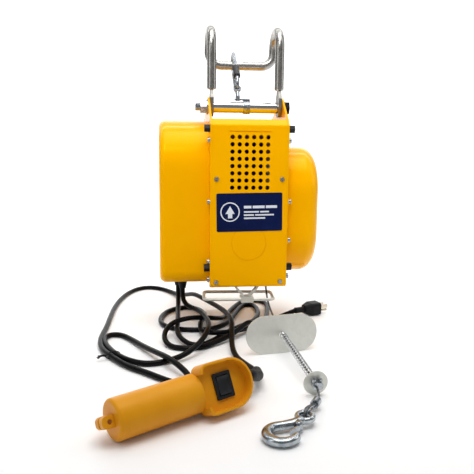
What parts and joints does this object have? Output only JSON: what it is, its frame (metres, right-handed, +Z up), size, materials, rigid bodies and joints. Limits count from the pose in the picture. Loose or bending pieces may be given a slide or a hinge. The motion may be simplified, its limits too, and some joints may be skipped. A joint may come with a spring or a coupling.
{
  "type": "portable electric hoist",
  "caption": "Small electric wire-rope hoist hung by a double bar hook, with a geared drum, limit lever, load hook, mains lead and hand pendant.",
  "frame": {"origin": "on the axis of the bar that the two bar hooks hold, midway between them", "axes": "+X to the right along the bar, +Y to the rear, +Z up"},
  "size_m": [0.3953, 0.6719, 0.4925],
  "materials": {
    "yellow_paint": "gloss powder coat",
    "blue_plate": "gloss film",
    "zinc_fasteners": "zinc plated",
    "black_steel": "black oxide",
    "polished_steel": "polished",
    "rubber": "moulded PVC",
    "motor_iron": "varnished",
    "copper": "enamelled wire",
    "zinc_sheet": "zinc plated",
    "black_plastic": "moulded",
    "orange_plastic": "moulded ABS",
    "brass": "nickel plated",
    "wire_steel": "galvanised wire",
    "gear_steel": "machined",
    "forged_zinc": "bright zinc"
  },
  "bodies": {
    "housing": {"front_cover": "yellow_paint", "rear_cover": "yellow_paint", "left_side_plate": "yellow_paint", "right_side_plate": "yellow_paint", "gear_cover": "yellow_paint", "brake_cover": "yellow_paint", "nameplate": "blue_plate", "cover_screws": "zinc_fasteners", "tie_bolts": "black_steel", "cross_bolt": "black_steel", "cross_nut": "zinc_fasteners", "spacer_sleeve": "polished_steel", "cord_glands": "rubber", "motor_stator": "motor_iron", "field_windings": "copper", "motor_end_bells": "motor_iron", "brake_coil": "motor_iron", "gear_plate": "zinc_sheet", "shaft_bearings": "zinc_fasteners", "capacitor": "black_plastic", "limit_switch": "black_plastic", "handset_front_shell": "orange_plastic", "handset_rear_shell": "orange_plastic", "rocker_bezel": "black_plastic", "handset_elbow": "rubber", "pendant_cord_start": "rubber", "pendant_cord_hank": "rubber", "pendant_cord_end": "rubber", "mains_cord_start": "rubber", "mains_cord_hank": "rubber", "mains_cord_end": "rubber", "plug_body": "rubber", "plug_blades": "brass", "wire_rope": "wire_steel", "rope_clamps": "zinc_fasteners", "spring_washer": "zinc_fasteners", "rope_eye": "wire_steel", "stop_spring": "wire_steel"},
    "hanger": {"hook_rod": "polished_steel", "hook_lugs": "polished_steel", "band_clamp": "zinc_fasteners", "swivel_link": "zinc_fasteners", "carabiner": "polished_steel"},
    "gate": {"carabiner_gate": "polished_steel"},
    "gate_sleeve": {"gate_sleeve": "black_plastic"},
    "drum": {"rope_drum": "gear_steel", "rope_winding": "wire_steel", "drum_gear": "gear_steel"},
    "lay_shaft": {"lay_shaft": "gear_steel", "lay_gear": "gear_steel"},
    "rotor": {"motor_shaft": "gear_steel", "armature": "motor_iron", "fan": "black_plastic", "brake_disc": "motor_iron"},
    "limit_lever": {"limit_strap": "zinc_sheet", "limit_frame": "zinc_sheet"},
    "stop_plate": {"stop_plate": "zinc_sheet"},
    "load_hook": {"load_hook": "forged_zinc"},
    "hook_latch": {"hook_latch": "forged_zinc"},
    "rocker": {"rocker": "black_plastic"}
  },
  "joints": [
    {"name": "hanger_swing", "type": "hinge", "parent": "housing", "child": "hanger", "pos_m": [0, -0.03, -0.095], "axis": [1, 0, 0], "range_deg": [-52, 40]},
    {"name": "carabiner_gate_swing", "type": "hinge", "parent": "hanger", "child": "gate", "pos_m": [-0.0125, -0.01796, -0.04482], "axis": [-1, 0, 0], "range_deg": [0, 13], "stiffness_Nm_per_rad": 0.05, "springref_deg": -34.38},
    {"name": "gate_sleeve_slide", "type": "slide", "parent": "gate", "child": "gate_sleeve", "axis": [0, 0.7704, 0.6376], "range_m": [0, 0.008]},
    {"name": "drum_spin", "type": "hinge", "parent": "housing", "child": "drum", "pos_m": [0, -0.004, -0.3], "axis": [1, 0, 0], "continuous": true},
    {"name": "lay_shaft_spin", "type": "hinge", "parent": "housing", "child": "lay_shaft", "pos_m": [0, 0.02323, -0.23324], "axis": [1, 0, 0], "continuous": true},
    {"name": "rotor_spin", "type": "hinge", "parent": "housing", "child": "rotor", "pos_m": [0, -0.004, -0.19], "axis": [1, 0, 0], "continuous": true},
    {"name": "limit_lever_lift", "type": "hinge", "parent": "housing", "child": "limit_lever", "pos_m": [0, 0.02, -0.371], "axis": [-1, 0, 0], "range_deg": [0, 6], "stiffness_Nm_per_rad": 4, "springref_deg": -14.32},
    {"name": "stop_plate_slide", "type": "slide", "parent": "housing", "child": "stop_plate", "axis": [0.0764, -0.9971, 0], "range_m": [0, 0.03], "stiffness_N_per_m": 400, "springref_m": -0.004, "deforming": ["stop_spring"]},
    {"name": "load_hook_swing", "type": "hinge", "parent": "housing", "child": "load_hook", "pos_m": [0.017, -0.42, -0.446], "axis": [0, 0, 1], "range_deg": [-40, 40]},
    {"name": "hook_latch_swing", "type": "hinge", "parent": "load_hook", "child": "hook_latch", "pos_m": [0.00812, -0.43883, -0.44722], "axis": [-0.0452, -0.0436, 0.998], "range_deg": [-30, 0], "stiffness_Nm_per_rad": 0.03, "springref_deg": 28.65},
    {"name": "rocker_tilt", "type": "hinge", "parent": "housing", "child": "rocker", "pos_m": [-0.06995, -0.37696, -0.4242], "axis": [0.8583, 0.5126, 0.0242], "range_deg": [-8, 8], "stiffness_Nm_per_rad": 0.15}
  ],
  "couplings": [
    {"joint": "lay_shaft_spin", "follows": "drum_spin", "ratio": -5},
    {"joint": "rotor_spin", "follows": "drum_spin", "ratio": 23.333}
  ]
}
